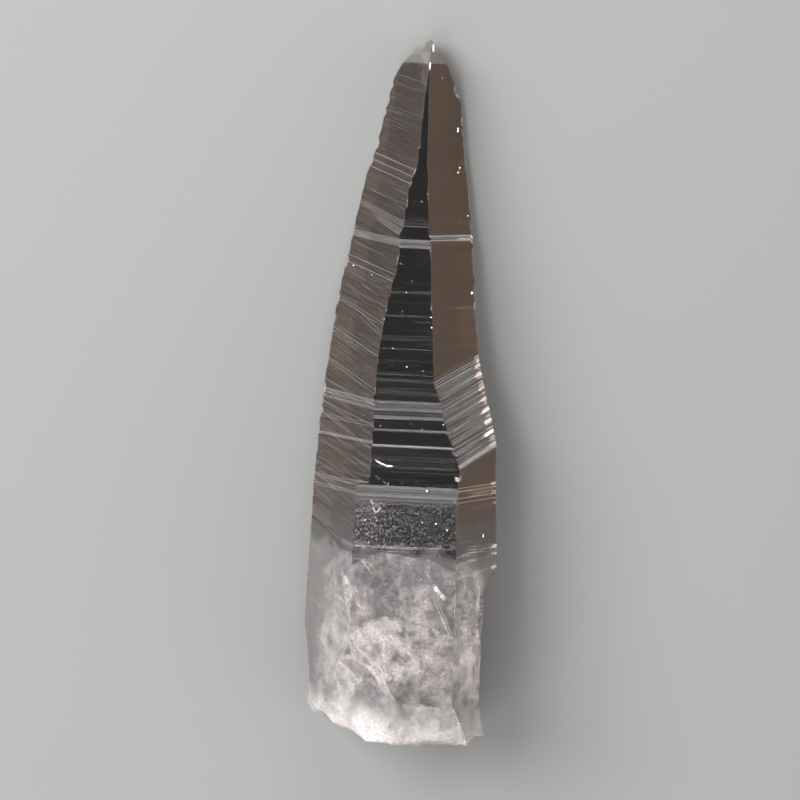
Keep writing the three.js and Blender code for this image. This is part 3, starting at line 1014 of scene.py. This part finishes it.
gauze = new_material("bubble_veil")
edge, whiteness, streaky, down, along_mm = (
    add(gauze, "Attribute", output="Fac", attribute_name=name) for name in SHEET_NUMBERS
)
place_m = add(gauze, "TexCoord", output="Object")
place_mm = add(gauze, "Mapping", {"Vector": place_m, "Scale": MM_FROM_M})
clouds = add(
    gauze, "TexNoise",
    {"Vector": place_mm, "Scale": 0.5 / CLOUD_SIZE, "Detail": 8, "Roughness": 0.7},
)
cloud = add(
    gauze, "MapRange", {"Value": clouds, "From Min": 0.4, "From Max": 0.7, "To Min": 0, "To Max": 0.85}
)
bubbles = add(gauze, "TexNoise", {"Vector": place_mm, "Scale": 0.5 / BUBBLE_SIZE, "Detail": 3})
bubble = add(
    gauze, "MapRange", {"Value": bubbles, "From Min": 0.4, "From Max": 0.62, "To Min": 0.35, "To Max": 1}
)
sheet_place = add(gauze, "CombineXYZ", {"X": along_mm, "Y": down})
streak_place = add(gauze, "Mapping", {"Vector": sheet_place, "Scale": (0.5 / STREAK_GAP, 0.25, 1)})
streaks = add(gauze, "TexNoise", {"Vector": streak_place, "Scale": 1, "Detail": 4, "Roughness": 0.65})
streak = add(
    gauze, "MapRange", {"Value": streaks, "From Min": 0.35, "From Max": 0.6, "To Min": 0, "To Max": 1}
)
pattern = add(
    gauze, "Mix", {"Factor": streaky, "A": cloud, "B": streak}, output="Result", data_type="FLOAT"
)
whole = add(gauze, "Math", {0: streaky, 1: (STREAKED + WHOLE) / 2}, operation="GREATER_THAN")
torn = add(gauze, "Math", {0: pattern, 1: whole}, operation="MAXIMUM")
fine_torn = add(gauze, "Math", {0: torn, 1: bubble}, operation="MULTIPLY")
within = add(gauze, "Math", {0: fine_torn, 1: edge}, operation="MULTIPLY")
alpha = add(gauze, "Math", {0: within, 1: whiteness}, operation="MULTIPLY", use_clamp=True)
sheet_surface = add(
    gauze, "BsdfPrincipled", {"Base Color": linear("#fbf7f5"), "Roughness": 0.4, "Alpha": alpha}
)
add(gauze, "OutputMaterial", {"Surface": sheet_surface})
veil_mesh.materials.append(gauze)
bpy.context.scene.cycles.transparent_max_bounces = SEE_THROUGH_LAYERS
print("veil nodes:", len(gauze.node_tree.nodes))

# %% [markdown]
# The stage is a plain pale floor that the stone lies on, a soft even room, and softboxes. The floor is
# matt card, so it has no shine that would compete with the stone's. Clear stone shows what is round it,
# so the lights are large and set low at the sides, where the ledges and the edges pick them up, and
# nothing shines straight down into the uppermost face.

# %% Floor and room
FLOOR_SIZE = 3          # metres
FLOOR_GAP = 0.03        # millimetres under the stone, so that the two surfaces don't flicker

bpy.ops.mesh.primitive_plane_add(size=FLOOR_SIZE, location=(0, 0, -FLOOR_GAP * MM))
floor = bpy.context.object
floor.name = "floor"
paper = new_material("matt_pale_card")
card = add(paper, "BsdfPrincipled", {"Base Color": linear("#969695"), "Roughness": 0.9})
add(paper, "OutputMaterial", {"Surface": card})
floor.data.materials.append(paper)

room = bpy.data.worlds.new("soft_room")
bpy.context.scene.world = room
room.use_nodes = True
room.node_tree.nodes["Background"].inputs["Color"].default_value = linear("#c8ccd0")
room.node_tree.nodes["Background"].inputs["Strength"].default_value = 0.35
bpy.context.scene.view_settings.view_transform = "Standard"
print("floor:", FLOOR_SIZE, "m square")


# %% Softboxes
def softbox(name, azimuth, elevation, distance, size, watts, colour="#ffffff"):
    """A square soft light that looks at the stone. Azimuth 0 is beyond its tip, and 90 at its right."""
    light = bpy.data.lights.new(name, "AREA")
    light.shape = "SQUARE"
    light.size = size
    light.energy = watts
    light.color = linear(colour)[:3]
    lamp = bpy.data.objects.new(name, light)
    a, e = math.radians(azimuth), math.radians(elevation)
    toward = Vector((math.sin(a) * math.cos(e), math.cos(a) * math.cos(e), math.sin(e)))
    lamp.location = toward * distance
    lamp.rotation_euler = toward.to_track_quat("Z", "Y").to_euler()
    lamp.visible_camera = False
    bpy.context.scene.collection.objects.link(lamp)
    return lamp


# The way to each, in degrees, then how far it is and how wide, in metres, and its watts.
softbox("left_softbox", -60, 45, 0.9, 0.6, 11)
softbox("tip_softbox", 15, 32, 1.0, 0.6, 3.5)
softbox("right_softbox", 100, 25, 1.0, 1.1, 4.5, "#fff5ea")
softbox("foot_softbox", 205, 40, 1.0, 0.9, 5)

# %% [markdown]
# Light that has been through the stone. To follow every ray that glass bends on its way to the floor
# would take thousands of samples, and with too few of them the picture is blotched. So those paths are
# off, and two soft lights that the stone doesn't stop stand in for them: a weak one for the floor under
# it, and one that reaches the veils inside it.

# %% Light for what the stone covers
bpy.context.scene.cycles.caustics_refractive = False
bpy.context.scene.cycles.caustics_reflective = False

let_through = bpy.data.collections.new("let_through")
let_through.objects.link(crystal)
let_through.collection_objects[0].light_linking.link_state = "EXCLUDE"


def through_light(name, lit, *how):
    """A softbox that lights one object alone, and that the stone doesn't stop."""
    lamp = softbox(name, *how)
    receivers = bpy.data.collections.new(name)
    receivers.objects.link(lit)
    lamp.light_linking.receiver_collection = receivers
    lamp.light_linking.blocker_collection = let_through
    return lamp


through_light("floor_through_stone", floor, -20, 70, 1.0, 0.6, 0.1)
through_light("veils_through_stone", veils, -40, 50, 0.4, 0.2, 10, "#eef4ff")

# %% [markdown]
# The camera stands where the eye stood for the real stone: above the uppermost face, a little towards
# the tip, with the stone turned a little in the picture. It is far off with a long lens, so the two
# ends of the stone keep their true widths.

# %% Camera
STAND_OFF = 580         # millimetres from the stone
LEAN = 5.5              # degrees that the tip leans to the eye, from square on
ROLL = 2.6              # and that the stone is turned in the picture
AIM = (-1.2, 66)        # millimetres across, and up the axis
PICTURE_PX = 800        # pixels across the picture
PX_PER_MM = 5.25        # pixels for each millimetre of the stone
VIEW_WIDTH = PICTURE_PX / PX_PER_MM     # millimetres across the picture, at the stone

sight = LAID_DOWN.to_3x3() @ Vector((0, math.sin(math.radians(LEAN)), math.cos(math.radians(LEAN))))
sight.normalize()
up = (LAID_DOWN.to_3x3() @ UP_AXIS).normalized()
up = (up - up.dot(sight) * sight).normalized()
right = up.cross(sight)
roll = Matrix.Rotation(math.radians(ROLL), 3, sight)
camera = bpy.data.objects.new("camera", bpy.data.cameras.new("camera"))
camera.data.sensor_width = 36
camera.data.lens = camera.data.sensor_width * STAND_OFF / VIEW_WIDTH
camera.data.clip_start = 0.01
turned = Matrix((roll @ right, roll @ up, roll @ sight)).transposed()
camera.matrix_world = Matrix.LocRotScale(place(*AIM) + sight * STAND_OFF * MM, turned, None)
bpy.context.scene.collection.objects.link(camera)
bpy.context.scene.camera = camera
print("camera at", [round(v / MM) for v in camera.location], "mm")
